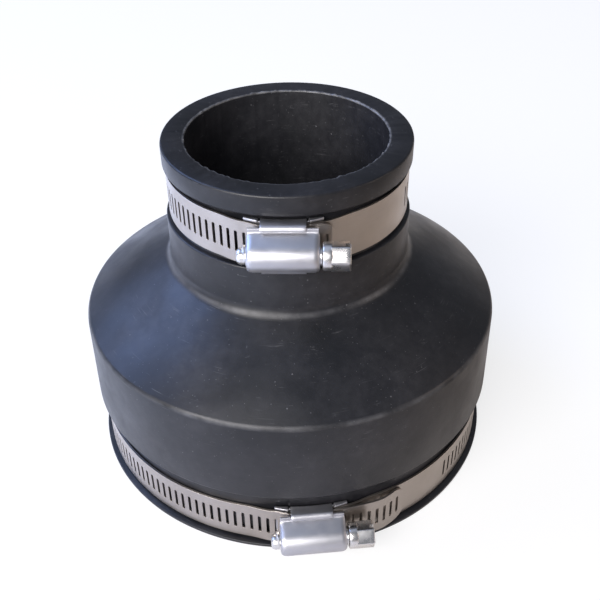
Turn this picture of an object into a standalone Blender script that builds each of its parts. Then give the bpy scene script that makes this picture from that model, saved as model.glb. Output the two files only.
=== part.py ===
import math

import bmesh
import bpy
from mathutils import Vector

# Flexible reducing coupling: a moulded rubber sleeve with a worm drive band clamp on each end.
# All sizes are in metres. The pipe axis stands upright, and the clamp screws are on the -Y side.

# Pipes that the two sockets take
SMALL_BORE = 0.0603
LARGE_BORE = 0.1143

# Heights of the sleeve's stretches, from the foot up
FLANGE_THICKNESS = 0.0012
BODY_HEIGHT = 0.0283
SHOULDER_RISE = 0.0175
NECK_HEIGHT = 0.0151
RIM_HEIGHT = 0.0063

# Walls measured outwards from the bore of the same end
FLANGE_WALL = 0.0095
LARGE_GROOVE_WALL = 0.0069
BODY_WALL = 0.0095
RIDGE_WALL = 0.00905
NECK_WALL = 0.0073
SMALL_GROOVE_WALL = 0.0053
RIM_WALL = 0.0071
SHOULDER_WALL = 0.0077

# Inside the sleeve
STOP_LEDGE = 0.0025
LEDGE_HEIGHT = 0.0050

# Small forms of the moulding
SHOULDER_CROWN = 0.0005
RIDGE_RADIUS = 0.0020
NECK_FILLET = 0.0025
EDGE_RADIUS = 0.0007
FINE_RADIUS = 0.00035

# Clamp strip and its slots
BAND_WIDTH = 0.0137
BAND_THICKNESS = 0.00065
SLOT_PITCH = 0.0025
SLOT_WIDTH = 0.0009
SLOT_LENGTH = 0.0068
PLAIN_LENGTH = 0.0520
FIXED_END = 0.0060
STRIP_GAP = 0.0008
RAMP_LENGTH = 0.0090
TIP_SHARES = (0.4, 0.7, 0.85)
PLAIN_TIP_ROWS = 5

# Clamp housing and saddle, folded from one thickness of sheet
SHEET = 0.0007
HOUSING_LENGTH = 0.0190
TUNNEL_BENDS = 7
END_DRAW = 0.0008
END_LENGTH = 0.0012
TAB_LENGTH = 0.0124
LIP_WIDTH = 0.0016
NOTCH = 0.0006
SADDLE_LENGTH = 0.0216
EAR_HEIGHT = 0.0022

# Clamp screw
WORM_RADIUS = 0.0034
WORM_ROOT = 0.0023
TIP_REACH = 0.0030
COLLAR_GAP = 0.0009
COLLAR_RADIUS = 0.0039
COLLAR_LENGTH = 0.0028
HEAD_ACROSS_FLATS = 0.0072
HEAD_LENGTH = 0.0048
HEAD_TURN = math.radians(-7)
DRIVER_SLOT_WIDTH = 0.0013
DRIVER_SLOT_DEPTH = 0.0014

# Clearances
CLEARANCE = 0.0003
LARGE_GROOVE_PLAY = 0.0054
SMALL_GROOVE_PLAY = 0.0013
UPPER_LEAN = -0.8
LOWER_LEAN = 0.8

# How each clamp stands: its turn about the pipe and how far its tail passes the housing's middle
UPPER_TURN = math.radians(-2.3)
LOWER_TURN = math.radians(4.2)
UPPER_TAIL = 0.0140
LOWER_TAIL = 0.0303

SLEEVE_STEPS = 52
SCREW_STEPS = 16
FILLET_SHARE = 0.45
MERGE = 0.00001

# Radii of the sleeve
SMALL_R = SMALL_BORE / 2
LARGE_R = LARGE_BORE / 2
RIM_R = SMALL_R + RIM_WALL
SMALL_GROOVE_R = SMALL_R + SMALL_GROOVE_WALL
NECK_R = SMALL_R + NECK_WALL
RIDGE_R = LARGE_R + RIDGE_WALL
BODY_R = LARGE_R + BODY_WALL
LARGE_GROOVE_R = LARGE_R + LARGE_GROOVE_WALL
FLANGE_R = LARGE_R + FLANGE_WALL
LEDGE_R = LARGE_R - STOP_LEDGE

# Heights of the sleeve, with each groove as wide as the clamp that lies in it and its play
CLAMP_HALF = BAND_WIDTH / 2 + CLEARANCE + SHEET
LARGE_GROOVE_WIDTH = 2 * CLAMP_HALF + LARGE_GROOVE_PLAY
SMALL_GROOVE_WIDTH = 2 * CLAMP_HALF + SMALL_GROOVE_PLAY
BODY_Z = FLANGE_THICKNESS + LARGE_GROOVE_WIDTH
RIDGE_Z = BODY_Z + BODY_HEIGHT
NECK_Z = RIDGE_Z + SHOULDER_RISE
SMALL_GROOVE_Z = NECK_Z + NECK_HEIGHT
RIM_Z = SMALL_GROOVE_Z + SMALL_GROOVE_WIDTH
TOP_Z = RIM_Z + RIM_HEIGHT


def clamp_layers(groove_r, share):
    # Each loose clamp stands on its housing's tab. Its far side hangs down by a share of the free way to the
    # groove's lower wall, or stands up by it where the share is below zero.
    lean = math.asin(share * (CLAMP_HALF - BAND_WIDTH / 2) / (2 * groove_r))
    # Distances from the pipe axis, outwards from the rubber through the layers under the screw
    layers = {"lean": lean, "seat": groove_r + CLEARANCE + CLAMP_HALF * math.sin(abs(lean))}
    layers["saddle"] = layers["seat"]
    layers["inner"] = layers["saddle"] + SHEET + CLEARANCE
    layers["outer"] = layers["inner"] + BAND_THICKNESS + CLEARANCE
    layers["housing"] = layers["outer"] + BAND_THICKNESS + CLEARANCE
    layers["lip"] = layers["housing"] + SHEET + CLEARANCE
    layers["screw"] = layers["housing"] + WORM_RADIUS
    layers["crown"] = layers["screw"] + WORM_RADIUS + CLEARANCE + SHEET
    return layers


UPPER_LAYERS = clamp_layers(SMALL_GROOVE_R, UPPER_LEAN)
LOWER_LAYERS = clamp_layers(LARGE_GROOVE_R, LOWER_LEAN)

# The bounding box is centred on the frame, so the pipe axis stands a little behind its middle.
AXIS_Y = (LOWER_LAYERS["crown"] - FLANGE_R) / 2


def clear_scene():
    for thing in list(bpy.data.objects):
        bpy.data.objects.remove(thing, do_unlink=True)


def new_collection(name):
    collection = bpy.data.collections.new(name)
    bpy.context.scene.collection.children.link(collection)
    return collection


def new_material(name, color, roughness, metallic):
    material = bpy.data.materials.new(name)
    material.use_nodes = True
    shader = material.node_tree.nodes["Principled BSDF"]
    shader.inputs["Base Color"].default_value = (*color, 1)
    shader.inputs["Roughness"].default_value = roughness
    shader.inputs["Metallic"].default_value = metallic
    return material


def new_object(name, mesh, material, collection, parent):
    thing = bpy.data.objects.new(name, mesh)
    collection.objects.link(thing)
    thing.parent = parent
    if material:
        thing.data.materials.append(material)
    return thing


def new_empty(name, collection, parent=None):
    empty = bpy.data.objects.new(name, None)
    collection.objects.link(empty)
    empty.parent = parent
    return empty


def mesh_from(shape, name):
    mesh = bpy.data.meshes.new(name)
    shape.to_mesh(mesh)
    shape.free()
    return mesh


def add_solidify(thing, thickness, offset):
    wall = thing.modifiers.new("Wall", "SOLIDIFY")
    wall.thickness = thickness
    wall.offset = offset
    wall.use_even_offset = True
    wall.use_quality_normals = True


def add_mirror(thing):
    mirror = thing.modifiers.new("Other half", "MIRROR")
    mirror.use_axis = (False, False, True)
    mirror.merge_threshold = MERGE


def add_boolean(thing, cutter, operation):
    boolean = thing.modifiers.new(cutter.name, "BOOLEAN")
    boolean.operation = operation
    boolean.solver = "EXACT"
    boolean.object = cutter


def rounded_outline(corners):
    # Each corner is a radius from the axis, a height, a fillet size and how many chords the fillet has.
    outline = []
    count = len(corners)
    for index, (radius, height, fillet, chords) in enumerate(corners):
        here = Vector((radius, height))
        if not fillet:
            outline.append(here)
            continue
        before = Vector(corners[index - 1][:2]) - here
        after = Vector(corners[(index + 1) % count][:2]) - here
        fillet = min(fillet, before.length * FILLET_SHARE, after.length * FILLET_SHARE)
        start = here + before.normalized() * fillet
        end = here + after.normalized() * fillet
        for chord in range(chords + 1):
            share = chord / chords
            outline.append(start.lerp(here, share).lerp(here.lerp(end, share), share))
    return outline


def turned_object(name, outline, closed, steps, material, collection, parent):
    shape = bmesh.new()
    points = [shape.verts.new((point[0], 0, point[1])) for point in outline]
    for first, second in zip(points, points[1:]):
        shape.edges.new((first, second))
    if closed:
        shape.edges.new((points[-1], points[0]))
    thing = new_object(name, mesh_from(shape, name), material, collection, parent)
    turn = thing.modifiers.new("Turn", "SCREW")
    turn.axis = "Z"
    turn.angle = math.tau
    turn.steps = steps
    turn.render_steps = steps
    turn.use_merge_vertices = True
    turn.merge_threshold = MERGE
    turn.use_smooth_shade = True
    return thing


def sleeve_outline():
    slope = SHOULDER_RISE / (RIDGE_R - NECK_R)
    drop = SHOULDER_WALL * math.hypot(1, slope)

    def cone_height(radius):
        return NECK_Z - (radius - NECK_R) * slope - drop

    crown_r = (NECK_R + RIDGE_R) / 2
    crown_z = (NECK_Z + RIDGE_Z) / 2 + SHOULDER_CROWN
    ledge_top = cone_height(LEDGE_R)
    return rounded_outline(
        [
            (RIM_R, TOP_Z, EDGE_RADIUS, 2),
            (RIM_R, RIM_Z, FINE_RADIUS, 1),
            (SMALL_GROOVE_R, RIM_Z, 0, 0),
            (SMALL_GROOVE_R, SMALL_GROOVE_Z, 0, 0),
            (NECK_R, SMALL_GROOVE_Z, FINE_RADIUS, 1),
            (NECK_R, NECK_Z, NECK_FILLET, 2),
            (crown_r, crown_z, 0, 0),
            (RIDGE_R, RIDGE_Z, RIDGE_RADIUS, 3),
            (BODY_R, BODY_Z, EDGE_RADIUS, 1),
            (LARGE_GROOVE_R, BODY_Z, 0, 0),
            (LARGE_GROOVE_R, FLANGE_THICKNESS, 0, 0),
            (FLANGE_R, FLANGE_THICKNESS, FINE_RADIUS, 1),
            (FLANGE_R, 0, EDGE_RADIUS, 1),
            (LARGE_R, 0, EDGE_RADIUS, 1),
            (LARGE_R, ledge_top - LEDGE_HEIGHT, 0, 0),
            (LEDGE_R, ledge_top - LEDGE_HEIGHT, 0, 0),
            (LEDGE_R, ledge_top, 0, 0),
            (SMALL_R, cone_height(SMALL_R), 0, 0),
            (SMALL_R, TOP_Z, EDGE_RADIUS, 1),
        ]
    )


def on_ring(radius, angle, height):
    # Angles start at -Y, where the housing is, and grow towards +X.
    return Vector((radius * math.sin(angle), -radius * math.cos(angle), height))


def eased(share):
    share = min(max(share, 0), 1)
    return share * share * (3 - 2 * share)


def hoop_radius(layers, angle):
    # Inner face of the strip: on the rubber round the sides and back, and lifted on to the saddle at its
    # ends. It starts there as the inner layer. One turn on, it comes back, steps on to its own fixed end and
    # runs out as the tail that lies on the first layer.
    saddle_end = SADDLE_LENGTH / 2 / layers["saddle"]
    fixed_end = (FIXED_END + STRIP_GAP) / layers["inner"]
    ramp = RAMP_LENGTH / layers["inner"]
    step = eased((angle - (math.tau - saddle_end)) / (saddle_end - fixed_end))
    lift = eased((angle - (math.tau - saddle_end - ramp)) / ramp)
    start = math.tau if angle > math.pi else 0
    settle = eased((angle - start - saddle_end) / ramp)
    lift = (lift if start else 1) - settle
    return layers["seat"] + (layers["inner"] - layers["seat"]) * lift + (layers["outer"] - layers["inner"]) * step


def hoop_stations(layers, tail):
    # One station a slot pitch along the strip, as its angle, its radius and its half width.
    end = math.tau + tail / layers["outer"]
    angle = -FIXED_END / layers["inner"]
    stations = []
    while angle < end:
        radius = hoop_radius(layers, angle)
        stations.append((angle, radius, BAND_WIDTH / 2))
        angle += SLOT_PITCH / radius
    # The tail's end is rounded off over one more pitch.
    for share in TIP_SHARES:
        round_half = BAND_WIDTH / 2 * math.sqrt(1 - share**2)
        stations.append((angle + (share - 1) * SLOT_PITCH / radius, radius, round_half))
    return stations


def make_band(name, layers, tail, material, collection, parent):
    stations = hoop_stations(layers, tail)
    strip = bmesh.new()
    rows = [
        (strip.verts.new(on_ring(radius, angle, -half)), strip.verts.new(on_ring(radius, angle, half)))
        for angle, radius, half in stations
    ]
    slotted = []
    first_slot = round(PLAIN_LENGTH / SLOT_PITCH)
    last_slot = len(rows) - PLAIN_TIP_ROWS
    for index, (here, following) in enumerate(zip(rows, rows[1:])):
        face = strip.faces.new((here[0], following[0], following[1], here[1]))
        if first_slot <= index < last_slot:
            slotted.append(face)
    bmesh.ops.inset_individual(strip, faces=slotted, thickness=SLOT_WIDTH / 4)
    for face in slotted:
        centre = face.calc_center_median()
        along = face.normal.cross(Vector((0, 0, 1)))
        for corner in face.verts:
            reach = corner.co - centre
            side = math.copysign(SLOT_WIDTH / 2, reach.dot(along))
            up = math.copysign(SLOT_LENGTH / 2, reach.z)
            corner.co = centre + along * side + Vector((0, 0, up))
    bmesh.ops.delete(strip, geom=slotted, context="FACES")
    band = new_object(name, mesh_from(strip, name), material, collection, parent)
    add_solidify(band, BAND_THICKNESS, 1)
    return band


def fold_sheet(name, rows, reaches, material, collection, parent):
    # Each row is the section at one station. Its reach is how many of the section's faces the sheet has
    # from there to the next station. The other half is mirrored, and the sheet then gets its thickness.
    sheet = bmesh.new()
    points = [[sheet.verts.new(point) for point in row] for row in rows]
    for here, following, reach in zip(points, points[1:], reaches):
        for index in range(reach):
            sheet.faces.new((here[index], here[index + 1], following[index + 1], following[index]))
    loose = [point for point in sheet.verts if not point.link_faces]
    bmesh.ops.delete(sheet, geom=loose, context="VERTS")
    bmesh.ops.recalc_face_normals(sheet, faces=sheet.faces)
    folded = new_object(name, mesh_from(sheet, name), material, collection, parent)
    add_mirror(folded)
    add_solidify(folded, SHEET, 0)
    return folded


def make_housing(name, layers, material, collection, parent):
    # Half of the tunnel, from its crown down to the foot that lies on the strip. Its ends are drawn in.
    tunnel_r = WORM_RADIUS + CLEARANCE + SHEET / 2
    foot_r = layers["housing"] + SHEET / 2
    half = HOUSING_LENGTH / 2
    rows = []
    for station, bend_r in (
        (-half, tunnel_r - END_DRAW),
        (END_LENGTH - half, tunnel_r),
        (half - END_LENGTH, tunnel_r),
        (half, tunnel_r - END_DRAW),
    ):
        foot_angle = math.asin((foot_r - layers["screw"]) / bend_r)
        row = []
        for bend in range(TUNNEL_BENDS + 1):
            angle = math.pi / 2 + (foot_angle - math.pi / 2) * bend / TUNNEL_BENDS
            distance = layers["screw"] + bend_r * math.sin(angle)
            row.append((station, -distance, bend_r * math.cos(angle)))
        row.append((station, -foot_r, BAND_WIDTH / 2))
        rows.append(row)
    reaches = [TUNNEL_BENDS + 1] * (len(rows) - 1)
    return fold_sheet(name, rows, reaches, material, collection, parent)


def make_saddle(name, layers, material, collection, parent):
    # Half of a curved plate under the strip. Its middle tab stands up beside the strip and folds over the
    # housing's foot, and an ear stands beside the strip at each end.
    plate_r = layers["saddle"] + SHEET / 2
    wall_z = BAND_WIDTH / 2 + CLEARANCE + SHEET / 2
    lip_r = layers["lip"] + SHEET / 2
    lip_z = wall_z + SHEET / 2 - LIP_WIDTH
    half_tab = TAB_LENGTH / 2
    half = SADDLE_LENGTH / 2
    notch = half_tab + NOTCH
    stations = [-half, -notch, -half_tab, -half_tab / 2, 0, half_tab / 2, half_tab, notch, half]
    rows = []
    for station in stations:
        angle = station / plate_r
        row = [on_ring(plate_r, angle, height) for height in (0, BAND_WIDTH / 2, wall_z)]
        if abs(station) > half_tab:
            row.append(on_ring(plate_r + EAR_HEIGHT, angle, wall_z))
        else:
            row += [(row[0].x, -lip_r, wall_z), (row[0].x, -lip_r, lip_z)]
        rows.append(row)
    plate, ear, tab = 1, 3, 4
    reaches = [ear, plate, tab, tab, tab, tab, plate, ear]
    return fold_sheet(name, rows, reaches, material, collection, parent)


def make_screw(name, layers, material, collection, cutters, parent):
    # The screw lies along +X beside the band. Its own Z axis runs from the tip to the head.
    half = HOUSING_LENGTH / 2
    worm_end = half - END_LENGTH - SHEET - CLEARANCE
    collar_start = half + COLLAR_GAP
    collar_end = collar_start + COLLAR_LENGTH
    tip = -half - TIP_REACH
    outline = rounded_outline(
        [
            (0, collar_end, 0, 0),
            (COLLAR_RADIUS, collar_end, FINE_RADIUS, 1),
            (COLLAR_RADIUS, collar_start, FINE_RADIUS, 1),
            (WORM_ROOT, collar_start, 0, 0),
            (WORM_ROOT, worm_end, 0, 0),
            (WORM_RADIUS, worm_end, FINE_RADIUS, 1),
            (WORM_RADIUS, -worm_end, FINE_RADIUS, 1),
            (WORM_ROOT, -worm_end, 0, 0),
            (WORM_ROOT, tip, EDGE_RADIUS, 2),
            (0, tip, 0, 0),
        ]
    )
    screw = turned_object(name, outline, False, SCREW_STEPS, material, collection, parent)
    place = Vector((0, -layers["screw"], 0))
    turn = (0, math.pi / 2, 0)

    hexagon = bmesh.new()
    corner_r = HEAD_ACROSS_FLATS / math.sqrt(3)
    bmesh.ops.create_cone(
        hexagon, cap_ends=True, segments=6, radius1=corner_r, radius2=corner_r, depth=HEAD_LENGTH + SHEET
    )
    bmesh.ops.translate(hexagon, verts=hexagon.verts, vec=(0, 0, collar_end + (HEAD_LENGTH - SHEET) / 2))
    head = new_object(name + "_head", mesh_from(hexagon, name + "_head"), None, cutters, parent)

    groove = bmesh.new()
    bmesh.ops.create_cube(groove, size=1)
    size = (4 * WORM_RADIUS, DRIVER_SLOT_WIDTH, 2 * DRIVER_SLOT_DEPTH)
    bmesh.ops.scale(groove, verts=groove.verts, vec=size)
    bmesh.ops.translate(groove, verts=groove.verts, vec=(0, 0, collar_end + HEAD_LENGTH))
    driver_slot = new_object(name + "_slot", mesh_from(groove, name + "_slot"), None, cutters, parent)

    for thing in (screw, head, driver_slot):
        thing.location = place
        thing.rotation_euler = turn
    head.rotation_euler.rotate_axis("Z", HEAD_TURN)
    for thing in (head, driver_slot):
        thing.hide_render = True
        thing.display_type = "WIRE"
    add_boolean(screw, head, "UNION")
    add_boolean(screw, driver_slot, "DIFFERENCE")
    return screw


def make_clamp(prefix, layers, groove_z, turn, tail, materials, collection, cutters, axis):
    front = groove_z + CLEARANCE + CLAMP_HALF
    frame = new_empty(prefix + "_clamp_axis", collection, axis)
    frame.location.z = front - layers["inner"] * math.sin(layers["lean"])
    frame.rotation_euler = (-layers["lean"], 0, turn)
    make_band(prefix + "_band", layers, tail, materials["band"], collection, frame)
    make_housing(prefix + "_housing", layers, materials["housing"], collection, frame)
    make_saddle(prefix + "_saddle", layers, materials["housing"], collection, frame)
    make_screw(prefix + "_screw", layers, materials["screw"], collection, cutters, frame)


def build():
    clear_scene()
    parts = new_collection("Reducing coupling")
    cutters = new_collection("Forms for the screws")
    rubber = new_material("Black rubber", (0.022, 0.023, 0.027), 0.55, 0.0)
    materials = {
        "band": new_material("Bright band steel", (0.72, 0.70, 0.67), 0.28, 1.0),
        "housing": new_material("Polished housing steel", (0.78, 0.78, 0.78), 0.22, 1.0),
        "screw": new_material("Plated screw steel", (0.74, 0.74, 0.73), 0.30, 1.0),
    }
    axis = new_empty("pipe_axis", parts)
    axis.location.y = AXIS_Y
    turned_object("rubber_sleeve", sleeve_outline(), True, SLEEVE_STEPS, rubber, parts, axis)
    upper = (UPPER_LAYERS, SMALL_GROOVE_Z, UPPER_TURN, UPPER_TAIL)
    lower = (LOWER_LAYERS, FLANGE_THICKNESS, LOWER_TURN, LOWER_TAIL)
    make_clamp("upper", *upper, materials, parts, cutters, axis)
    make_clamp("lower", *lower, materials, parts, cutters, axis)


build()
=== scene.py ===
import math

import bmesh
import bpy
from mathutils import Euler, Matrix, Vector, noise


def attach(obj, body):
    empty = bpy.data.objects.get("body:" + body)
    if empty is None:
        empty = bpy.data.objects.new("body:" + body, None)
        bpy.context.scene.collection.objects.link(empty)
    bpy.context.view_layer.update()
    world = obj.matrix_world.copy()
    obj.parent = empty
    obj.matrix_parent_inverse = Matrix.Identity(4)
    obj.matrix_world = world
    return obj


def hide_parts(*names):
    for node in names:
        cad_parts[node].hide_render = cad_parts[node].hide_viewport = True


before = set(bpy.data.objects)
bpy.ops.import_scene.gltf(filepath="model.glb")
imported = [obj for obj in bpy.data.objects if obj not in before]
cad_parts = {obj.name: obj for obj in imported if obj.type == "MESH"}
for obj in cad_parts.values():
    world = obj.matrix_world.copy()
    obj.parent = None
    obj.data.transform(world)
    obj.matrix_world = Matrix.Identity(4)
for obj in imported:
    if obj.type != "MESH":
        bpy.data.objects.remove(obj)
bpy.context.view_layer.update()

axisY = 0.0042245  # the pipe axis stands this far behind the middle of the box
sheetThickness = 0.0007  # of the clamp housings and saddles
print("Frame loaded:", len(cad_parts), "nodes")


# Helpers for pieces

def finishPiece(name, shape, material, sharpAngle=40):
    mesh = bpy.data.meshes.new(name)
    shape.to_mesh(mesh)
    shape.free()
    piece = bpy.data.objects.new(name, mesh)
    bpy.context.scene.collection.objects.link(piece)
    mesh.materials.append(material)
    mesh.polygons.foreach_set("use_smooth", [True] * len(mesh.polygons))
    mesh.set_sharp_from_angle(angle=math.radians(sharpAngle))
    return piece


def addSheet(piece, thickness, edge):
    wall = piece.modifiers.new("Sheet", "SOLIDIFY")
    wall.thickness = thickness
    wall.offset = 0
    wall.use_even_offset = True
    soft = piece.modifiers.new("Soft edges", "BEVEL")
    soft.width = edge
    soft.segments = 2
    soft.limit_method = "ANGLE"
    soft.angle_limit = math.radians(50)
    soft.harden_normals = False


def bevelEdges(shape, edges, size, segments):
    bmesh.ops.bevel(
        shape, geom=edges, offset=size, offset_type="OFFSET", segments=segments, profile=0.5,
        affect="EDGES", material=-1, clamp_overlap=True,
    )


def bevelPoints(shape, points, size, segments):
    bmesh.ops.bevel(
        shape, geom=points, offset=size, offset_type="OFFSET", segments=segments, profile=0.5,
        affect="VERTICES", material=-1, clamp_overlap=True,
    )


def roundedSection(corners, place):
    # A flat face through the corners, each rounded by its own size, left as a loop of edges
    shape = bmesh.new()
    points = [shape.verts.new(place(across, along)) for across, along, size in corners]
    shape.faces.new(points)
    for point, (across, along, size) in zip(points, corners):
        if size:
            bevelPoints(shape, [point], size, 6 if size > 0.001 else 3)
    bmesh.ops.delete(shape, geom=shape.faces[:], context="FACES_ONLY")
    return shape


def spinFull(shape, centre, axis, steps):
    bmesh.ops.spin(
        shape, geom=shape.verts[:] + shape.edges[:], cent=centre, axis=axis, dvec=(0, 0, 0),
        angle=math.tau, steps=steps, use_merge=True, use_duplicate=False,
    )
    bmesh.ops.remove_doubles(shape, verts=shape.verts[:], dist=0.000002)
    bmesh.ops.recalc_face_normals(shape, faces=shape.faces[:])


def cutAcross(shape, cuts):
    # New edges where the planes (place, normal) cross the shape
    for place, normal in cuts:
        everything = shape.verts[:] + shape.edges[:] + shape.faces[:]
        bmesh.ops.bisect_plane(shape, geom=everything, plane_co=place, plane_no=normal)


def joinInto(target, other):
    mesh = bpy.data.meshes.new("joining")
    other.to_mesh(mesh)
    other.free()
    target.from_mesh(mesh)
    bpy.data.meshes.remove(mesh)


# Helpers for materials

def addNode(tree, kind, inputs=None, **settings):
    node = tree.nodes.new(kind)
    for key, value in settings.items():
        setattr(node, key, value)
    for key, value in (inputs or {}).items():
        if isinstance(value, bpy.types.NodeSocket):
            tree.links.new(value, node.inputs[key])
        else:
            node.inputs[key].default_value = value
    return node


def math2(tree, operation, first, second=0.0, clamp=False):
    node = addNode(tree, "ShaderNodeMath", {0: first, 1: second}, operation=operation, use_clamp=clamp)
    return node.outputs[0]


def vectorMath(tree, operation, inputs):
    return addNode(tree, "ShaderNodeVectorMath", inputs, operation=operation).outputs


def noiseAt(tree, vector, scale, detail):
    inputs = {"Vector": vector, "Scale": scale, "Detail": detail}
    return addNode(tree, "ShaderNodeTexNoise", inputs).outputs


def mixColor(tree, share, first, second, blend="MIX"):
    node = addNode(tree, "ShaderNodeMix", data_type="RGBA", blend_type=blend)
    for key, value in ((0, share), (6, first), (7, second)):
        if isinstance(value, bpy.types.NodeSocket):
            tree.links.new(value, node.inputs[key])
        elif isinstance(value, tuple):
            node.inputs[key].default_value = (*value, 1)
        else:
            node.inputs[key].default_value = value
    return node.outputs[2]


def fitRange(tree, value, low, high, newLow=0.0, newHigh=1.0):
    return addNode(
        tree, "ShaderNodeMapRange", {0: value, 1: low, 2: high, 3: newLow, 4: newHigh}, clamp=True
    ).outputs[0]


def newGroup(name, inputs, outputs):
    tree = bpy.data.node_groups.new(name, "ShaderNodeTree")
    for socketName, kind, value in inputs:
        socket = tree.interface.new_socket(name=socketName, in_out="INPUT", socket_type=kind)
        if value is not None:
            socket.default_value = value
    for socketName, kind in outputs:
        tree.interface.new_socket(name=socketName, in_out="OUTPUT", socket_type=kind)
    return tree, tree.nodes.new("NodeGroupInput").outputs, tree.nodes.new("NodeGroupOutput").inputs


def placeGroup(tree, name, inputs):
    node = addNode(tree, "ShaderNodeGroup", node_tree=bpy.data.node_groups[name])
    for key, value in inputs.items():
        if isinstance(value, bpy.types.NodeSocket):
            tree.links.new(value, node.inputs[key])
        else:
            node.inputs[key].default_value = value
    return node.outputs


def makeRoundCoords():
    # Arc length, distance from the pipe axis and height, for marks that run round the pipe
    tree, given, out = newGroup(
        "roundCoords",
        [("Vector", "NodeSocketVector", None), ("Arc Radius", "NodeSocketFloat", 0.06)],
        [("Round Vector", "NodeSocketVector"), ("Angle", "NodeSocketFloat"), ("Radius", "NodeSocketFloat"),
         ("Height", "NodeSocketFloat")],
    )
    split = addNode(tree, "ShaderNodeSeparateXYZ", {0: given["Vector"]}).outputs
    back = math2(tree, "SUBTRACT", split[1], axisY)
    angle = math2(tree, "ARCTAN2", split[0], back)
    flat = addNode(tree, "ShaderNodeCombineXYZ", {0: split[0], 1: back}).outputs[0]
    radius = vectorMath(tree, "LENGTH", {0: flat})["Value"]
    arc = math2(tree, "MULTIPLY", angle, given["Arc Radius"])
    joined = addNode(tree, "ShaderNodeCombineXYZ", {0: arc, 1: radius, 2: split[2]}).outputs[0]
    results = {"Round Vector": joined, "Angle": angle, "Radius": radius, "Height": split[2]}
    for key, value in results.items():
        tree.links.new(value, out[key])


def makeSpecks():
    # Small round grains of dust, in the share of the cells that Share gives
    tree, given, out = newGroup(
        "specks",
        [("Vector", "NodeSocketVector", None), ("Scale", "NodeSocketFloat", 900.0),
         ("Share", "NodeSocketFloat", 0.1), ("Size", "NodeSocketFloat", 0.2)],
        [("Mask", "NodeSocketFloat")],
    )
    where = {"Vector": given["Vector"], "Scale": given["Scale"]}
    cells = addNode(tree, "ShaderNodeTexVoronoi", where).outputs
    chance = addNode(tree, "ShaderNodeSeparateColor", {0: cells["Color"]}).outputs[0]
    pick = math2(tree, "LESS_THAN", chance, given["Share"])
    dot = math2(tree, "SUBTRACT", given["Size"], cells["Distance"])
    soft = math2(tree, "MULTIPLY", dot, 9.0, clamp=True)
    tree.links.new(math2(tree, "MULTIPLY", soft, pick), out["Mask"])


def makeScratches():
    # Thin broken lines along the first axis of the vector that comes in
    tree, given, out = newGroup(
        "scratches",
        [("Vector", "NodeSocketVector", None), ("Along", "NodeSocketFloat", 60.0),
         ("Across", "NodeSocketFloat", 2500.0), ("Share", "NodeSocketFloat", 0.3),
         ("Bend", "NodeSocketFloat", 0.0)],
        [("Mask", "NodeSocketFloat")],
    )
    sway = noiseAt(tree, given["Vector"], 120.0, 1.0)[1]
    sway = vectorMath(tree, "SCALE", {0: sway, "Scale": given["Bend"]})[0]
    bent = vectorMath(tree, "ADD", {0: given["Vector"], 1: sway})[0]
    sizes = {0: given["Along"], 1: given["Across"], 2: given["Across"]}
    stretch = addNode(tree, "ShaderNodeCombineXYZ", sizes).outputs[0]
    scaled = vectorMath(tree, "MULTIPLY", {0: bent, 1: stretch})[0]
    lines = noiseAt(tree, scaled, 1.0, 2.0)[0]
    keep = noiseAt(tree, given["Vector"], 210.0, 2.0)[0]
    thin = fitRange(tree, lines, 0.62, 0.70)
    keep = fitRange(tree, math2(tree, "ADD", keep, given["Share"]), 0.78, 0.9)
    tree.links.new(math2(tree, "MULTIPLY", thin, keep), out["Mask"])


def makeClouds():
    # Large soft patches, for handled and wiped places
    tree, given, out = newGroup(
        "clouds",
        [("Vector", "NodeSocketVector", None), ("Scale", "NodeSocketFloat", 40.0),
         ("Low", "NodeSocketFloat", 0.0), ("High", "NodeSocketFloat", 1.0)],
        [("Value", "NodeSocketFloat")],
    )
    inputs = {"Vector": given["Vector"], "Scale": given["Scale"], "Detail": 4.0, "Roughness": 0.6}
    patches = addNode(tree, "ShaderNodeTexNoise", inputs).outputs[0]
    share = fitRange(tree, patches, 0.35, 0.65)
    span = math2(tree, "SUBTRACT", given["High"], given["Low"])
    value = math2(tree, "ADD", math2(tree, "MULTIPLY", share, span), given["Low"])
    tree.links.new(value, out["Value"])


def newMaterial(name, roughness, metallic):
    material = bpy.data.materials.new(name)
    material.use_nodes = True
    tree = material.node_tree
    shader = tree.nodes["Principled BSDF"]
    shader.inputs["Roughness"].default_value = roughness
    shader.inputs["Metallic"].default_value = metallic
    return material, tree, shader


def addBump(tree, shader, height, distance, strength=1.0):
    inputs = {"Height": height, "Distance": distance, "Strength": strength}
    bump = addNode(tree, "ShaderNodeBump", inputs)
    tree.links.new(bump.outputs[0], shader.inputs["Normal"])


makeRoundCoords()
makeSpecks()
makeScratches()
makeClouds()


# Black moulded rubber

rubberLook = dict(
    dark=(0.0075, 0.0080, 0.0100),
    wornAndSheenPatches=(0.0145, 0.0145, 0.0175),
    dustAndSheen=(0.30, 0.30, 0.31),
    roughness=(0.34, 0.46),
    grain=0.00003,
    fineDust={"Scale": 1500.0, "Share": 0.08, "Size": 0.20},
    bigDust={"Scale": 620.0, "Share": 0.045, "Size": 0.17},
    # How far the dust and sheen colour shows in smudges, scratches, grains and the flash, and as painted
    # highlight lines
    mottle=0.035,
    marks=0.14,
    grains=0.34,
    flash=0.60,
    paintedHighlightLines=0.22,
    flashRadius=0.0304,
    flashHeight=0.1059,
    ridgeHeight=0.0503,
    footHeight=0.0681,
)


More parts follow.
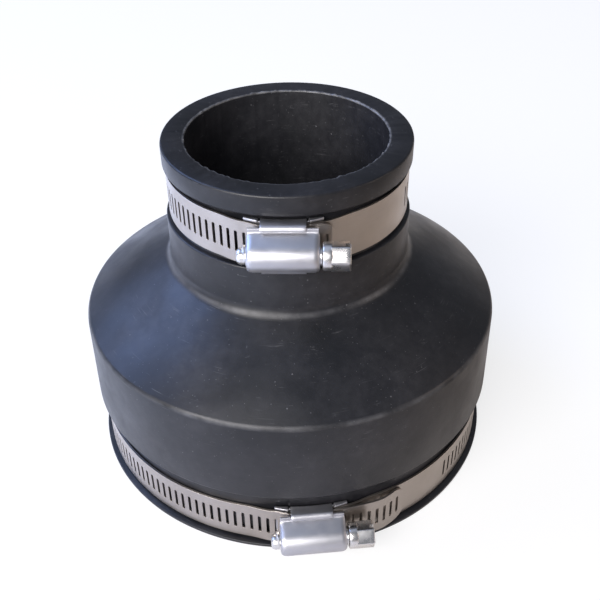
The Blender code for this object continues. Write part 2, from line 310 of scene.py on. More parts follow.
def makeRubber(look):
    material, tree, shader = newMaterial("blackRubber", look["roughness"][0], 0.0)
    point = addNode(tree, "ShaderNodeTexCoord").outputs["Object"]
    around = placeGroup(tree, "roundCoords", {"Vector": point, "Arc Radius": 0.05})
    streaks = placeGroup(
        tree, "scratches", {"Vector": around["Round Vector"], "Along": 90.0, "Across": 2600.0, "Share": 0.22}
    )["Mask"]
    scuffs = placeGroup(
        tree, "scratches", {"Vector": point, "Along": 500.0, "Across": 1500.0, "Share": 0.16, "Bend": 0.004}
    )["Mask"]
    fineDust = placeGroup(tree, "specks", {"Vector": point, **look["fineDust"]})["Mask"]
    bigDust = placeGroup(tree, "specks", {"Vector": point, **look["bigDust"]})["Mask"]
    patches = placeGroup(tree, "clouds", {"Vector": point, "Scale": 45.0})["Value"]
    base = mixColor(tree, patches, look["dark"], look["wornAndSheenPatches"])
    smudges = {"Vector": point, "Scale": 380.0, "Low": 0.0, "High": look["mottle"]}
    mottle = placeGroup(tree, "clouds", smudges)["Value"]
    base = mixColor(tree, math2(tree, "MULTIPLY", mottle, patches), base, look["dustAndSheen"])
    marks = math2(tree, "MULTIPLY", math2(tree, "MAXIMUM", streaks, scuffs), look["marks"])
    base = mixColor(tree, marks, base, look["dustAndSheen"])
    grains = math2(tree, "MULTIPLY", math2(tree, "MAXIMUM", fineDust, bigDust), look["grains"])
    base = mixColor(tree, grains, base, look["dustAndSheen"])
    # Scraped flash on the bore's edge, and painted highlight lines, lighter lines that stand in for the
    # fillets' reflections, on the shoulder's ridge and at the neck's foot
    inner, brim = look["flashRadius"], look["flashHeight"]
    nearBore = fitRange(tree, around["Radius"], inner, inner + 0.0005, 1.0, 0.0)
    nearTop = fitRange(tree, around["Height"], brim, brim + 0.0003)
    torn = placeGroup(tree, "clouds", {"Vector": point, "Scale": 260.0, "Low": 0.1, "High": 1.0})["Value"]
    flash = math2(tree, "MULTIPLY", math2(tree, "MULTIPLY", nearBore, nearTop), torn)
    paintedHighlightLines = 0.0
    for level in (look["ridgeHeight"], look["footHeight"]):
        away = math2(tree, "ABSOLUTE", math2(tree, "SUBTRACT", around["Height"], level))
        paintedHighlightLines = math2(tree, "MAXIMUM", fitRange(tree, away, 0.0002, 0.0009, 1.0, 0.0), paintedHighlightLines)
    wornAndSheenPatches = placeGroup(tree, "clouds", {"Vector": point, "Scale": 110.0})["Value"]
    paintedHighlightLines = math2(tree, "MULTIPLY", paintedHighlightLines, wornAndSheenPatches)
    base = mixColor(tree, math2(tree, "MULTIPLY", flash, look["flash"]), base, look["dustAndSheen"])
    # Painted highlight: the light lines at the ridge and the neck's foot, broken into patches, mixed into
    # the base colour
    base = mixColor(tree, math2(tree, "MULTIPLY", paintedHighlightLines, look["paintedHighlightLines"]), base, look["dustAndSheen"])
    tree.links.new(base, shader.inputs["Base Color"])
    low, high = look["roughness"]
    gloss = placeGroup(tree, "clouds", {"Vector": point, "Scale": 70.0, "Low": low, "High": high})["Value"]
    gloss = math2(tree, "ADD", gloss, math2(tree, "MULTIPLY", math2(tree, "MAXIMUM", grains, marks), 0.5))
    tree.links.new(gloss, shader.inputs["Roughness"])
    skin = noiseAt(tree, point, 1400.0, 3.0)[0]
    swell = noiseAt(tree, point, 90.0, 2.0)[0]
    height = math2(tree, "ADD", math2(tree, "MULTIPLY", skin, 0.5), math2(tree, "MULTIPLY", swell, 4.0))
    height = math2(tree, "ADD", height, math2(tree, "MULTIPLY", grains, 1.5))
    addBump(tree, shader, height, look["grain"])
    return material


# Stainless strip: satin, with rolling lines along it

stripLook = dict(
    color=(0.50, 0.455, 0.415),
    stain=(0.39, 0.35, 0.31),
    roughness=(0.30, 0.42),
    scratch=0.000006,
)


def makeStripSteel(look):
    material, tree, shader = newMaterial("rolledStrip", look["roughness"][0], 1.0)
    along = addNode(tree, "ShaderNodeUVMap", uv_map="along").outputs[0]
    point = addNode(tree, "ShaderNodeTexCoord").outputs["Object"]
    rolled = placeGroup(
        tree, "scratches", {"Vector": along, "Along": 2.0, "Across": 400.0, "Share": 0.5}
    )["Mask"]
    scuffs = placeGroup(
        tree, "scratches", {"Vector": point, "Along": 300.0, "Across": 2200.0, "Share": 0.12, "Bend": 0.006}
    )["Mask"]
    patches = placeGroup(tree, "clouds", {"Vector": point, "Scale": 60.0})["Value"]
    base = mixColor(tree, math2(tree, "MULTIPLY", patches, 0.5), look["color"], look["stain"])
    dark = math2(tree, "MULTIPLY", math2(tree, "MAXIMUM", rolled, scuffs), 0.25)
    base = mixColor(tree, dark, base, look["stain"])
    tree.links.new(base, shader.inputs["Base Color"])
    low, high = look["roughness"]
    gloss = placeGroup(tree, "clouds", {"Vector": point, "Scale": 130.0, "Low": low, "High": high})["Value"]
    gloss = math2(tree, "ADD", gloss, math2(tree, "MULTIPLY", math2(tree, "MAXIMUM", rolled, scuffs), 0.12))
    tree.links.new(gloss, shader.inputs["Roughness"])
    height = math2(tree, "MAXIMUM", rolled, scuffs)
    addBump(tree, shader, height, look["scratch"], 0.6)
    return material


# Bright sheet of the housings and saddles, and the plated screws

housingLook = dict(
    color=(0.62, 0.62, 0.65), tint=(0.53, 0.53, 0.57), roughness=(0.40, 0.48), scratch=0.000003,
)
screwLook = dict(
    color=(0.86, 0.85, 0.84), tint=(0.68, 0.66, 0.64), roughness=(0.24, 0.34), scratch=0.000006,
)


def makeBrightSteel(name, look):
    low, high = look["roughness"]
    material, tree, shader = newMaterial(name, low, 1.0)
    point = addNode(tree, "ShaderNodeTexCoord").outputs["Object"]
    lines = placeGroup(
        tree, "scratches", {"Vector": point, "Along": 160.0, "Across": 2600.0, "Share": 0.20, "Bend": 0.002}
    )["Mask"]
    patches = placeGroup(tree, "clouds", {"Vector": point, "Scale": 150.0})["Value"]
    base = mixColor(tree, math2(tree, "MULTIPLY", patches, 0.6), look["color"], look["tint"])
    base = mixColor(tree, math2(tree, "MULTIPLY", lines, 0.2), base, look["tint"])
    tree.links.new(base, shader.inputs["Base Color"])
    gloss = placeGroup(tree, "clouds", {"Vector": point, "Scale": 260.0, "Low": low, "High": high})["Value"]
    gloss = math2(tree, "ADD", gloss, math2(tree, "MULTIPLY", lines, 0.12))
    tree.links.new(gloss, shader.inputs["Roughness"])
    ripple = noiseAt(tree, point, 420.0, 2.0)[0]
    height = math2(tree, "ADD", math2(tree, "MULTIPLY", ripple, 1.6), math2(tree, "MULTIPLY", lines, -0.7))
    addBump(tree, shader, height, look["scratch"])
    return material


rubber = makeRubber(rubberLook)
stripSteel = makeStripSteel(stripLook)
housingSteel = makeBrightSteel("polishedHousing", housingLook)
screwSteel = makeBrightSteel("platedScrew", screwLook)
print("Materials made")


# The rubber sleeve

sleeveForm = dict(
    # Round the section: down the outside from the small end, then up the bore (radius, height, rounding)
    corners=(
        (0.03725, 0.10650, 0.0007),
        (0.03725, 0.10020, 0.0005),
        (0.03545, 0.10020, 0.0004),
        (0.03545, 0.08320, 0.0005),
        (0.03745, 0.08320, 0.0005),
        (0.03745, 0.06810, 0.0026),
        (0.05182, 0.05985, 0.0040),
        (0.06620, 0.05060, 0.0011),
        (0.06665, 0.02230, 0.0009),
        (0.06405, 0.02230, 0.0004),
        (0.06405, 0.00120, 0.0002),
        (0.06665, 0.00120, 0.0003),
        (0.06665, 0.00000, 0.0004),
        (0.05715, 0.00000, 0.0008),
        (0.05715, 0.03991, 0.0004),
        (0.05465, 0.03991, 0.0006),
        (0.05465, 0.04491, 0.0008),
        (0.03015, 0.05999, 0.0020),
        (0.03015, 0.10650, 0.0005),
    ),
    steps=224,
    wave=0.00010,
    flash=0.00036,
)


def makeSleeve(form):
    shape = roundedSection(form["corners"], lambda across, along: (across, 0, along))
    spinFull(shape, (0, 0, 0), (0, 0, 1), form["steps"])
    topZ = form["corners"][0][1]
    boreR = form["corners"][-1][0]
    for point in shape.verts:
        flat = Vector((point.co.x, point.co.y, 0))
        outwards = flat.normalized()
        point.co += outwards * noise.noise(point.co * 35) * form["wave"]
        # Ragged flash left by the mould on the inner edge of the small end
        if abs(flat.length - boreR) < 0.0006 and point.co.z > topZ - 0.0007:
            ragged = noise.noise(outwards * 40) + 0.6 * noise.noise(outwards * 130)
            point.co.z += max(ragged, -0.2) * form["flash"]
            point.co -= outwards * max(ragged, 0) * form["flash"] * 0.7
    bmesh.ops.translate(shape, verts=shape.verts[:], vec=(0, axisY, 0))
    piece = finishPiece("sleeve_moulding", shape, rubber)
    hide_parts("rubber_sleeve")
    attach(piece, "sleeve")


makeSleeve(sleeveForm)
print("Sleeve made")


# The clamps

clampForms = dict(
    upper=dict(
        seat=0.03584, inner=0.03684, outer=0.03779, housing=0.03874, lip=0.03974, screw=0.04214,
        lean=-0.01128, turn=math.radians(-2.3), height=0.091766, tail=0.0140, tailBow=0.0003,
        firstSlot=0.0500, pitch=0.00250,
    ),
    lower=dict(
        seat=0.06440, inner=0.06540, outer=0.06635, housing=0.06730, lip=0.06830, screw=0.07070,
        lean=0.00625, turn=math.radians(4.2), height=0.008942, tail=0.0303, tailBow=0.0015,
        firstSlot=0.0540, pitch=0.00256,
    ),
)

stripForm = dict(
    width=0.0137,
    thickness=0.00065,
    slotWidth=0.00095,
    slotLength=0.0068,
    fixedEnd=0.0060,
    lastSlot=0.00257,  # from the tail's tip to the middle of its last slot
    tipRounding=0.0040,
    gap=0.0008,
    ramp=0.0090,
    stride=0.0004,  # between the places of the path round the hoop
    edge=0.00010,
)

housingForm = dict(
    length=0.0190, tubeRadius=0.00405, footStart=0.0054, fold=0.0006, draw=0.0009, drawLength=0.0015,
    drawRise=0.0015, steps=22, edge=0.00022,
)

saddleForm = dict(
    length=0.0216, tab=0.0124, notch=0.0006, lipWidth=0.0016, lipFold=0.00105, fold=0.0005, ear=0.0015,
    sideGap=0.0003, spacing=0.0013, edge=0.00018,
)

screwForm = dict(
    root=0.0023, thread=0.0034, pitch=0.0025, wormEnd=0.0072, pilot=0.0125, collarStart=0.0104,
    collarEnd=0.0132, collarRadius=0.0039, headEnd=0.0180, acrossFlats=0.0072, headTurn=math.radians(-7),
    slotWidth=0.0013, slotDepth=0.0014,
)


def clampPlace(clamp):
    turn = Euler((-clamp["lean"], 0, clamp["turn"])).to_matrix().to_4x4()
    return Matrix.Translation((0, axisY, clamp["height"])) @ turn


def onRing(radius, angle, height):
    # Angles start at the front, where the housing is, and grow towards the screw's head
    return Vector((radius * math.sin(angle), -radius * math.cos(angle), height))


def eased(share):
    share = min(max(share, 0), 1)
    return share * share * (3 - 2 * share)


def hoopRadius(clamp, angle):
    saddleEnd = saddleForm["length"] / 2 / clamp["seat"]
    fixedEnd = (stripForm["fixedEnd"] + stripForm["gap"]) / clamp["inner"]
    ramp = stripForm["ramp"] / clamp["inner"]
    step = eased((angle - (math.tau - saddleEnd)) / (saddleEnd - fixedEnd))
    lift = eased((angle - (math.tau - saddleEnd - ramp)) / ramp)
    start = math.tau if angle > math.pi else 0
    settle = eased((angle - start - saddleEnd) / ramp)
    lift = (lift if start else 1) - settle
    # The tail stands off a little between the housing and its tip
    tailEnd = clamp["tail"] / clamp["outer"]
    alongTail = min(max((angle - math.tau - saddleEnd) / (tailEnd - saddleEnd), 0), 1)
    bow = clamp["tailBow"] * math.sin(math.pi * alongTail) ** 2
    layers = (clamp["inner"] - clamp["seat"]) * lift + (clamp["outer"] - clamp["inner"]) * step
    return clamp["seat"] + layers + bow


def hoopPath(clamp):
    # Places along the strip: length so far, angle and radius, until the tail's end
    angle = -stripForm["fixedEnd"] / clamp["inner"]
    end = math.tau + clamp["tail"] / clamp["outer"]
    stride = stripForm["stride"]
    path = []
    length = 0
    while angle < end + 0.02:
        radius = hoopRadius(clamp, angle)
        path.append((length, angle, radius))
        length += stride
        angle += stride / radius
    total = next(length for length, angle, radius in path if angle >= end)
    return path, total


def stripCell(slotted, length):
    # One pitch of the strip, laid flat, with a rounded slot in its middle where it has one
    form = stripForm
    cell = bmesh.new()
    bmesh.ops.create_grid(cell, x_segments=3, y_segments=3, size=0.5)
    middle = []
    for point in cell.verts:
        outerX, outerY = abs(point.co.x) > 0.3, abs(point.co.y) > 0.3
        if not (outerX or outerY):
            middle.append(point)
        halfX = length / 2 if outerX else min(form["slotWidth"] / 2, length / 4)
        halfY = form["width"] / 2 if outerY else form["slotLength"] / 2
        point.co.x = math.copysign(halfX, point.co.x)
        point.co.y = math.copysign(halfY, point.co.y)
    if slotted:
        bevelPoints(cell, middle, form["slotWidth"] * 0.42, 2)
        hole = min(cell.faces, key=lambda face: face.calc_center_median().length)
        bmesh.ops.delete(cell, geom=[hole], context="FACES")
    mesh = bpy.data.meshes.new("cell")
    cell.to_mesh(mesh)
    cell.free()
    return mesh


def addCell(strip, mesh, centre):
    before = len(strip.verts)
    strip.from_mesh(mesh)
    strip.verts.ensure_lookup_table()
    bmesh.ops.translate(strip, verts=strip.verts[before:], vec=(centre, 0, 0))


def makeStrip(prefix, clamp):
    form = stripForm
    pitch = clamp["pitch"]
    path, total = hoopPath(clamp)
    tipStart = total - form["lastSlot"] + pitch / 2
    slots = round((tipStart - clamp["firstSlot"]) / pitch)
    plainLength = tipStart - slots * pitch
    plainCells = math.ceil(plainLength / pitch)
    plain = stripCell(False, plainLength / plainCells)
    slotted = stripCell(True, pitch)
    strip = bmesh.new()
    for index in range(plainCells):
        addCell(strip, plain, (index + 0.5) * plainLength / plainCells)
    for index in range(slots):
        addCell(strip, slotted, plainLength + (index + 0.5) * pitch)
    # The tail's end: a short plain tongue, past the last slot
    tip = bmesh.new()
    bmesh.ops.create_grid(tip, x_segments=1, y_segments=1, size=0.5)
    bmesh.ops.scale(tip, verts=tip.verts[:], vec=(total - tipStart, form["width"], 1))
    bmesh.ops.translate(tip, verts=tip.verts[:], vec=((total + tipStart) / 2, 0, 0))
    shares = (0.06, 0.18, 0.36, 0.65)
    cuts = [((total - (total - tipStart) * share, 0, 0), (1, 0, 0)) for share in shares]
    cuts += [((0, side * form["slotLength"] / 2, 0), (0, 1, 0)) for side in (-1, 1)]
    cutAcross(tip, cuts)
    joinInto(strip, tip)
    for mesh in (plain, slotted):
        bpy.data.meshes.remove(mesh)
    rounding = form["tipRounding"]
    for point in strip.verts:  # round the tail's two corners
        rest = max(rounding - (total - point.co.x), 0)
        side = form["width"] / 2 - rounding + math.sqrt(max(rounding ** 2 - rest ** 2, 0))
        point.co.y = math.copysign(min(abs(point.co.y), side), point.co.y)
    bmesh.ops.remove_doubles(strip, verts=strip.verts[:], dist=0.000005)
    bmesh.ops.solidify(strip, geom=strip.faces[:], thickness=form["thickness"])
    lowest = min(point.co.z for point in strip.verts)
    bmesh.ops.recalc_face_normals(strip, faces=strip.faces[:])
    sharp = [edge for edge in strip.edges if edge.is_manifold and edge.calc_face_angle() > 1.2
             and abs(edge.verts[0].co.z - edge.verts[1].co.z) < 0.00001]
    bevelEdges(strip, sharp, form["edge"], 1)
    along = strip.loops.layers.uv.new("along")
    for face in strip.faces:
        for loop in face.loops:
            loop[along].uv = (loop.vert.co.x * 10, loop.vert.co.y * 10)
    for point in strip.verts:
        place = min(max(point.co.x, 0), total + 0.0002) / form["stride"]
        index = min(int(place), len(path) - 2)
        share = place - index
        angle = path[index][1] + (path[index + 1][1] - path[index][1]) * share
        radius = path[index][2] + (path[index + 1][2] - path[index][2]) * share
        point.co = onRing(radius + point.co.z - lowest, angle, point.co.y)
    bmesh.ops.transform(strip, matrix=clampPlace(clamp), verts=strip.verts[:])
    piece = finishPiece(prefix + "_slotted_strip", strip, stripSteel, 35)
    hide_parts(prefix + "_band")
    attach(piece, prefix + "_clamp")


def makeHousing(prefix, clamp):
    form = housingForm
    half = form["length"] / 2
    tube = form["tubeRadius"]
    footR = clamp["housing"] + sheetThickness / 2
    centre = Vector((-half, -clamp["screw"], 0))
    foot = Vector((0, clamp["screw"] - footR, form["footStart"]))  # from the tunnel's middle
    # Where the flank that rises from the foot runs into the round crown
    blend = math.acos(tube / foot.length) - math.atan2(foot.y, foot.z)
    shape = bmesh.new()
    first = shape.verts.new(centre + Vector((0, -tube * math.sin(blend), tube * math.cos(blend))))
    bmesh.ops.spin(
        shape, geom=[first], cent=centre, axis=(1, 0, 0), dvec=(0, 0, 0),
        angle=math.pi - 2 * blend, steps=form["steps"], use_merge=False, use_duplicate=False,
    )
    ends = [point for point in shape.verts if len(point.link_edges) == 1]
    for end in ends:
        side = math.copysign(1, end.co.z)
        crownEdge = end.co.copy()
        footPlace = centre + Vector((0, foot.y, foot.z * side))
        for share in (0.25, 0.5, 0.75, 1):
            end = bmesh.ops.extrude_vert_indiv(shape, verts=[end])["verts"][0]
            end.co = crownEdge.lerp(footPlace, share)
        toe = bmesh.ops.extrude_vert_indiv(shape, verts=[end])["verts"][0]
        toe.co.z = side * stripForm["width"] / 2
    # Along the screw, in rows that stand closer at the drawn-in ends
    near = [form["drawLength"] * share for share in (0.12, 0.3, 0.55, 1)]
    stations = near + [form["length"] - place for place in reversed(near)] + [form["length"]]
    rim = shape.edges[:]
    last = 0
    for station in stations:
        pulled = bmesh.ops.extrude_edge_only(shape, edges=rim)["geom"]
        rim = [part for part in pulled if isinstance(part, bmesh.types.BMEdge)]
        moved = [part for part in pulled if isinstance(part, bmesh.types.BMVert)]
        bmesh.ops.translate(shape, verts=moved, vec=(station - last, 0, 0))
        last = station
    for point in shape.verts:
        share = max(0, (abs(point.co.x) - (half - form["drawLength"])) / form["drawLength"])
        if share:
            inwards = form["draw"] * (1 - math.sqrt(max(0, 1 - share * share)))
            above = min(1, max(0, (-point.co.y - footR) / form["drawRise"]))  # the feet stay down
            lean = math.atan2(centre.y - point.co.y, abs(point.co.z))
            lean = max(lean, blend)  # a flank moves in square to itself
            out = Vector((0, -math.sin(lean), math.copysign(math.cos(lean), point.co.z)))
            point.co -= out * inwards * above
    bmesh.ops.recalc_face_normals(shape, faces=shape.faces[:])
    folds = [edge for edge in shape.edges if edge.is_manifold and edge.calc_face_angle() > 0.7]
    bevelEdges(shape, folds, form["fold"], 4)
    bmesh.ops.transform(shape, matrix=clampPlace(clamp), verts=shape.verts[:])
    piece = finishPiece(prefix + "_rolled_housing", shape, housingSteel, 60)
    addSheet(piece, sheetThickness, form["edge"])
    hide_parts(prefix + "_housing")
    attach(piece, prefix + "_clamp")


def makeSaddle(prefix, clamp):
    form = saddleForm
    plateR = clamp["seat"] + sheetThickness / 2
    lipR = clamp["lip"] + sheetThickness / 2
    wallZ = stripForm["width"] / 2 + form["sideGap"] + sheetThickness / 2
    plateZ = stripForm["width"] / 2
    half, tab = form["length"] / 2, form["tab"] / 2
    notch = tab + form["notch"]
    plate = bmesh.new()
    bmesh.ops.create_grid(plate, x_segments=1, y_segments=1, size=0.5)
    bmesh.ops.scale(plate, verts=plate.verts[:], vec=(2 * half, 2 * wallZ, 1))
    rows = [index * form["spacing"] for index in range(-8, 9)]
    across = [-notch, -tab, tab, notch] + [place for place in rows if abs(abs(place) - tab) > 0.0004]
    cuts = [((place, 0, 0), (1, 0, 0)) for place in across]
    cuts += [((0, side * plateZ, 0), (0, 1, 0)) for side in (-1, 1)]
    cutAcross(plate, cuts)

    def within(edge, low, high):
        return all(low - 0.00001 < abs(point.co.x) < high + 0.00001 for point in edge.verts)

    middles = [(face, face.calc_center_median()) for face in plate.faces]
    notches = [face for face, middle in middles if tab < abs(middle.x) < notch and abs(middle.y) > plateZ]
    bmesh.ops.delete(plate, geom=notches, context="FACES")
    outer = [edge for edge in plate.edges
             if edge.is_boundary and all(abs(abs(point.co.y) - wallZ) < 0.00001 for point in edge.verts)]
    tabs = [edge for edge in outer if within(edge, 0, tab)]
    ears = [edge for edge in outer if within(edge, notch, half)]

    def pull(edges, move):
        pulled = bmesh.ops.extrude_edge_only(plate, edges=edges)["geom"]
        for part in pulled:
            if isinstance(part, bmesh.types.BMVert):
                part.co += move(part.co)
        return [part for part in pulled if isinstance(part, bmesh.types.BMEdge)]

    def earHeight(place):
        return form["ear"] * (0.55 + 0.45 * (half - abs(place.x)) / (half - notch))

    def isLipFold(edge):
        return all(point.co.z > (lipR - plateR) * 0.9 for point in edge.verts)

    def foldsNow():
        return [edge for edge in plate.edges if edge.is_manifold and edge.calc_face_angle() > 1]

    pull(ears, lambda place: Vector((0, 0, earHeight(place))))
    tops = pull(tabs, lambda place: Vector((0, 0, lipR - plateR)))
    tops = [edge for edge in tops if abs(edge.verts[0].co.x - edge.verts[1].co.x) > 0.00001]
    pull(tops, lambda place: Vector((0, -math.copysign(form["lipWidth"] - sheetThickness / 2, place.y), 0)))
    bmesh.ops.remove_doubles(plate, verts=plate.verts[:], dist=0.000001)
    bevelEdges(plate, [edge for edge in foldsNow() if not isLipFold(edge)], form["fold"], 4)
    bevelEdges(plate, [edge for edge in foldsNow() if isLipFold(edge)], form["lipFold"], 7)
    for point in plate.verts:
        angle = point.co.x / plateR
        low = onRing(plateR, angle, point.co.y)
        share = point.co.z / (lipR - plateR)
        if abs(point.co.x) < tab + 0.0001:  # the tab's walls straighten towards its flat lip
            low.y += (-lipR - low.y) * share
        else:
            low = onRing(plateR + point.co.z, angle, point.co.y)
        point.co = low
    bmesh.ops.recalc_face_normals(plate, faces=plate.faces[:])
    bmesh.ops.transform(plate, matrix=clampPlace(clamp), verts=plate.verts[:])
    piece = finishPiece(prefix + "_folded_saddle", plate, housingSteel, 60)
    addSheet(piece, sheetThickness, form["edge"])
    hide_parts(prefix + "_saddle")
    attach(piece, prefix + "_clamp")


def makeHead(form):
    # A hexagon with chamfered corners and a driver slot cut across its end
    head = bmesh.new()
    corner = form["acrossFlats"] / math.sqrt(3)
    depth = form["headEnd"] - form["collarEnd"] + 0.0004
    bmesh.ops.create_cone(head, cap_ends=True, segments=6, radius1=corner, radius2=corner, depth=depth)
    turn = Matrix.Rotation(form["headTurn"], 3, "Z")
    bmesh.ops.rotate(head, verts=head.verts[:], cent=(0, 0, 0), matrix=turn)
    top = [edge for edge in head.edges if all(point.co.z > 0 for point in edge.verts)]
    bevelEdges(head, top, 0.00045, 3)
    sides = [edge for edge in head.edges if abs(edge.verts[0].co.z - edge.verts[1].co.z) > depth / 2]
    bevelEdges(head, sides, 0.00022, 2)
    halfSlot = form["slotWidth"] / 2
    floor = depth / 2 - form["slotDepth"]
    cutAcross(head, (
        ((0, halfSlot, 0), (0, 1, 0)), ((0, -halfSlot, 0), (0, 1, 0)), ((0, 0, floor), (0, 0, 1)),
    ))
    slot = [face for face in head.faces
            if abs(face.calc_center_median().y) < halfSlot and face.calc_center_median().z > floor]
    bmesh.ops.delete(head, geom=slot, context="FACES")
    for side in (-1, 1):
        wall = [edge for edge in head.edges if edge.is_boundary
                and all(abs(point.co.y - side * halfSlot) < 0.000001 for point in edge.verts)]
        points = {point for edge in wall for point in edge.verts}
        ends = [point for point in points if abs(point.co.z - floor) < 0.000001]
        ends.sort(key=lambda point: point.co.x)  # the same order each run
        wall.append(head.edges.get(ends) or head.edges.new(ends))
        bmesh.ops.contextual_create(head, geom=wall)
    base = [edge for edge in head.edges if edge.is_boundary]
    bmesh.ops.contextual_create(head, geom=base)
    bmesh.ops.translate(head, verts=head.verts[:], vec=(0, 0, form["headEnd"] - depth / 2))
    bmesh.ops.recalc_face_normals(head, faces=head.faces[:])
    return head


def makeScrew(prefix, clamp):
    form = screwForm
    wormEnd, pilot = form["wormEnd"], form["pilot"]
    corners = (
        (0, form["collarEnd"], 0),
        (form["collarRadius"], form["collarEnd"], 0.0005),
        (form["collarRadius"], form["collarStart"], 0.0005),
        (form["root"] + 0.0004, form["collarStart"], 0.0002),
        (form["root"] + 0.0004, wormEnd, 0),
        (form["root"], wormEnd - 0.0003, 0),
        (form["root"], -pilot + 0.0012, 0),
        (form["root"] - 0.0002, -pilot, 0.0009),
        (0, -pilot, 0),
    )
    shape = roundedSection(corners, lambda across, along: (across, 0, along))
    onAxis = [edge for edge in shape.edges if all(abs(point.co.x) < 0.000001 for point in edge.verts)]
    bmesh.ops.delete(shape, geom=onAxis, context="EDGES")
    spinFull(shape, (0, 0, 0), (0, 0, 1), 40)
    # The worm: a wedge of thread wound along the shank, sunk a little into it
    thread = bmesh.new()
    pitch, deep = form["pitch"], form["root"] - 0.0002
    crest = form["thread"]
    profile = ((deep, -0.36 * pitch), (crest, -0.12 * pitch), (crest, 0.12 * pitch), (deep, 0.36 * pitch))
    points = [thread.verts.new((across, 0, along - pilot + 0.0010)) for across, along in profile]
    edges = [thread.edges.new(pair) for pair in zip(points, points[1:])]
    turns = (wormEnd + pilot - 0.0020) / pitch
    steps = round(turns * 26)
    bmesh.ops.spin(
        thread, geom=points + edges, cent=(0, 0, 0), axis=(0, 0, 1), dvec=(0, 0, turns * pitch / steps),
        angle=turns * math.tau, steps=steps, use_merge=False, use_duplicate=False,
    )
    for point in thread.verts:  # lower outside the housing, and nothing at both ends
        flat = Vector((point.co.x, point.co.y, 0))
        fromTip = point.co.z + pilot - 0.0003
        toEnd = wormEnd - 0.0006 - point.co.z
        tall = 0.75 + 0.25 * eased((point.co.z + housingForm["length"] / 2 - 0.0010) / 0.0012)
        rise = (flat.length - deep) * min(1, max(0, fromTip / 0.0008), max(0, toEnd / 0.0012)) * tall
        flat = flat.normalized() * (deep + rise)
        point.co.x, point.co.y = flat.x, flat.y
    bmesh.ops.recalc_face_normals(thread, faces=thread.faces[:])
    bmesh.ops.holes_fill(thread, edges=[edge for edge in thread.edges if edge.is_boundary], sides=4)
    joinInto(shape, thread)
    joinInto(shape, makeHead(form))
    lay = Matrix.Translation((0, -clamp["screw"], 0)) @ Matrix.Rotation(math.pi / 2, 4, "Y")
    bmesh.ops.transform(shape, matrix=clampPlace(clamp) @ lay, verts=shape.verts[:])
    piece = finishPiece(prefix + "_worm_screw", shape, screwSteel, 32)
    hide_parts(prefix + "_screw")
    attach(piece, prefix + "_worm")


for prefix, clamp in clampForms.items():
    makeStrip(prefix, clamp)
    makeHousing(prefix, clamp)
    makeSaddle(prefix, clamp)
    makeScrew(prefix, clamp)
    print(prefix, "clamp made")


# Floor, light and camera

floorLook = dict(
    # Painted bounce light: what the floor throws back on the object is painted cool towards the window and
    # warm on the other side, with painted shade deeper in front on the right and near the object. The camera
    # sees it plain and pale.
    cool=(0.82, 0.88, 1.0),
    warm=(0.76, 0.61, 0.47),
    paintedShadeFrontRight=0.46,
    paintedShadeNearObject=0.80,
    seen=(0.30, 0.30, 0.30),
    lift=0.74,
    # Painted reflection: the floor glows in glossy rays, painted brighter on the left than on the right
    liftLeft=0.44,  # in reflections, where less of its brightness shows
    liftRight=0.08,
)

worldLook = dict(color=(0.80, 0.86, 1.0), strength=0.20)

lamps = dict(
    # Place, size, colour and power of each soft light. All of them face the object.
    front=dict(place=(-0.70, -1.15, 0.85), size=(1.2, 0.9), color=(1.0, 0.97, 0.97), power=33),
    window=dict(place=(-1.15, 0.50, 1.05), size=(1.0, 1.2), color=(0.36, 0.52, 1.0), power=17),
    right=dict(place=(1.2, -0.25, 0.5), size=(0.6, 0.6), color=(1.0, 0.80, 0.66), power=1.6),
    above=dict(place=(-0.1, 0.2, 1.6), size=(1.2, 1.2), color=(0.60, 0.72, 1.0), power=1.8),
)


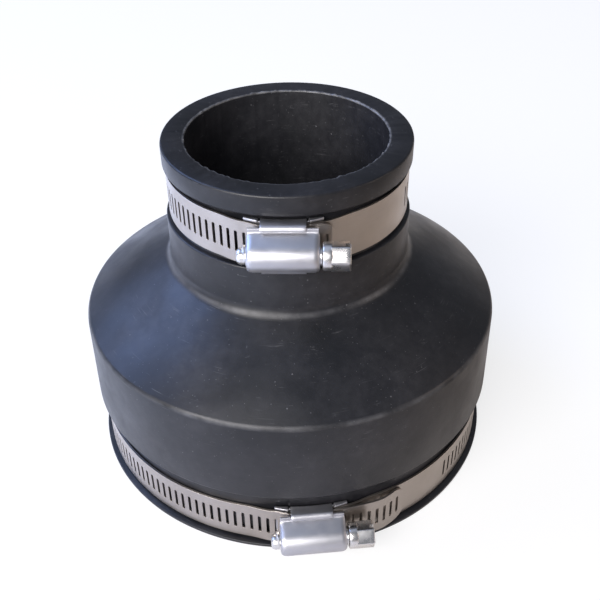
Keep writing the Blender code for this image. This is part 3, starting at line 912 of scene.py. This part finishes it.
def makeFloor():
    shape = bmesh.new()
    bmesh.ops.create_grid(shape, x_segments=2, y_segments=2, size=4)
    material, tree, shader = newMaterial("paleFloor", 0.9, 0.0)
    shader.inputs["Specular IOR Level"].default_value = 0.1
    shader.inputs["Emission Color"].default_value = (1, 1, 1, 1)
    point = addNode(tree, "ShaderNodeTexCoord").outputs["Object"]
    split = addNode(tree, "ShaderNodeSeparateXYZ", {0: point}).outputs
    # Painted bounce light: cool on the left and warm on the right, for the rays that light and mirror the
    # object
    paintedBounce = mixColor(tree, fitRange(tree, split[0], -0.10, 0.14), floorLook["cool"], floorLook["warm"])
    slant = math2(tree, "SUBTRACT", split[0], split[1])
    # Painted shade: darker towards the front right and near the object
    deep = fitRange(tree, slant, -0.06, 0.34, 1.0, floorLook["paintedShadeFrontRight"])
    away = vectorMath(tree, "LENGTH", {0: point})["Value"]
    near = fitRange(tree, away, 0.07, 0.15, floorLook["paintedShadeNearObject"], 1.0)
    level = math2(tree, "MULTIPLY", deep, near)
    paintedBounce = mixColor(tree, level, (0, 0, 0), paintedBounce)
    path = addNode(tree, "ShaderNodeLightPath").outputs
    seen = math2(tree, "MAXIMUM", path["Is Camera Ray"], path["Is Transmission Ray"])
    tree.links.new(mixColor(tree, seen, paintedBounce, floorLook["seen"]), shader.inputs["Base Color"])
    # Painted reflection: glow seen only by glossy rays, brighter on the left than on the right
    shine = fitRange(tree, slant, -0.14, 0.22, floorLook["liftLeft"], floorLook["liftRight"])
    glossy = math2(tree, "MULTIPLY", path["Is Glossy Ray"], shine)
    lift = math2(tree, "MAXIMUM", math2(tree, "MULTIPLY", seen, floorLook["lift"]), glossy)
    tree.links.new(lift, shader.inputs["Emission Strength"])
    floor = finishPiece("floor", shape, material)


def makeLamps():
    target = Vector((0, 0, 0.05))
    for name, values in lamps.items():
        lamp = bpy.data.lights.new(name, "AREA")
        lamp.shape = "RECTANGLE"
        lamp.size, lamp.size_y = values["size"]
        lamp.color = values["color"]
        lamp.energy = values["power"]
        holder = bpy.data.objects.new(name, lamp)
        holder.location = values["place"]
        holder.rotation_euler = (target - holder.location).to_track_quat("-Z", "Y").to_euler()
        bpy.context.scene.collection.objects.link(holder)


def makeWorld():
    world = bpy.data.worlds.new("softRoom")
    world.use_nodes = True
    tree = world.node_tree
    background = tree.nodes["Background"]
    # White to the camera past the floor's edge, without lighting the object
    seen = addNode(tree, "ShaderNodeLightPath").outputs["Is Camera Ray"]
    tree.links.new(mixColor(tree, seen, worldLook["color"], (1.0, 1.0, 1.0)), background.inputs["Color"])
    tree.links.new(math2(tree, "MAXIMUM", seen, worldLook["strength"]), background.inputs["Strength"])
    bpy.context.scene.world = world


cameraView = dict(
    focal=867.2,  # in pixels of the picture
    pictureWidth=600,
    place=(0, axisY - 0.2329, 0.2207),
    tilt=-0.6469,
    aside=-0.0137,
    roll=-0.01386,
)


def makeCamera():
    data = bpy.data.cameras.new("photoCamera")
    data.sensor_width = 36
    data.lens = cameraView["focal"] / cameraView["pictureWidth"] * data.sensor_width
    data.clip_start = 0.01
    camera = bpy.data.objects.new("photoCamera", data)
    turn = (
        Matrix.Rotation(cameraView["aside"], 4, "Z")
        @ Matrix.Rotation(math.pi / 2 + cameraView["tilt"], 4, "X")
        @ Matrix.Rotation(cameraView["roll"], 4, "Z")
    )
    camera.matrix_world = Matrix.Translation(cameraView["place"]) @ turn
    bpy.context.scene.collection.objects.link(camera)
    bpy.context.scene.camera = camera


makeFloor()
makeLamps()
makeWorld()
makeCamera()
bpy.context.scene.view_settings.view_transform = "Standard"
print("Floor, light and camera set")
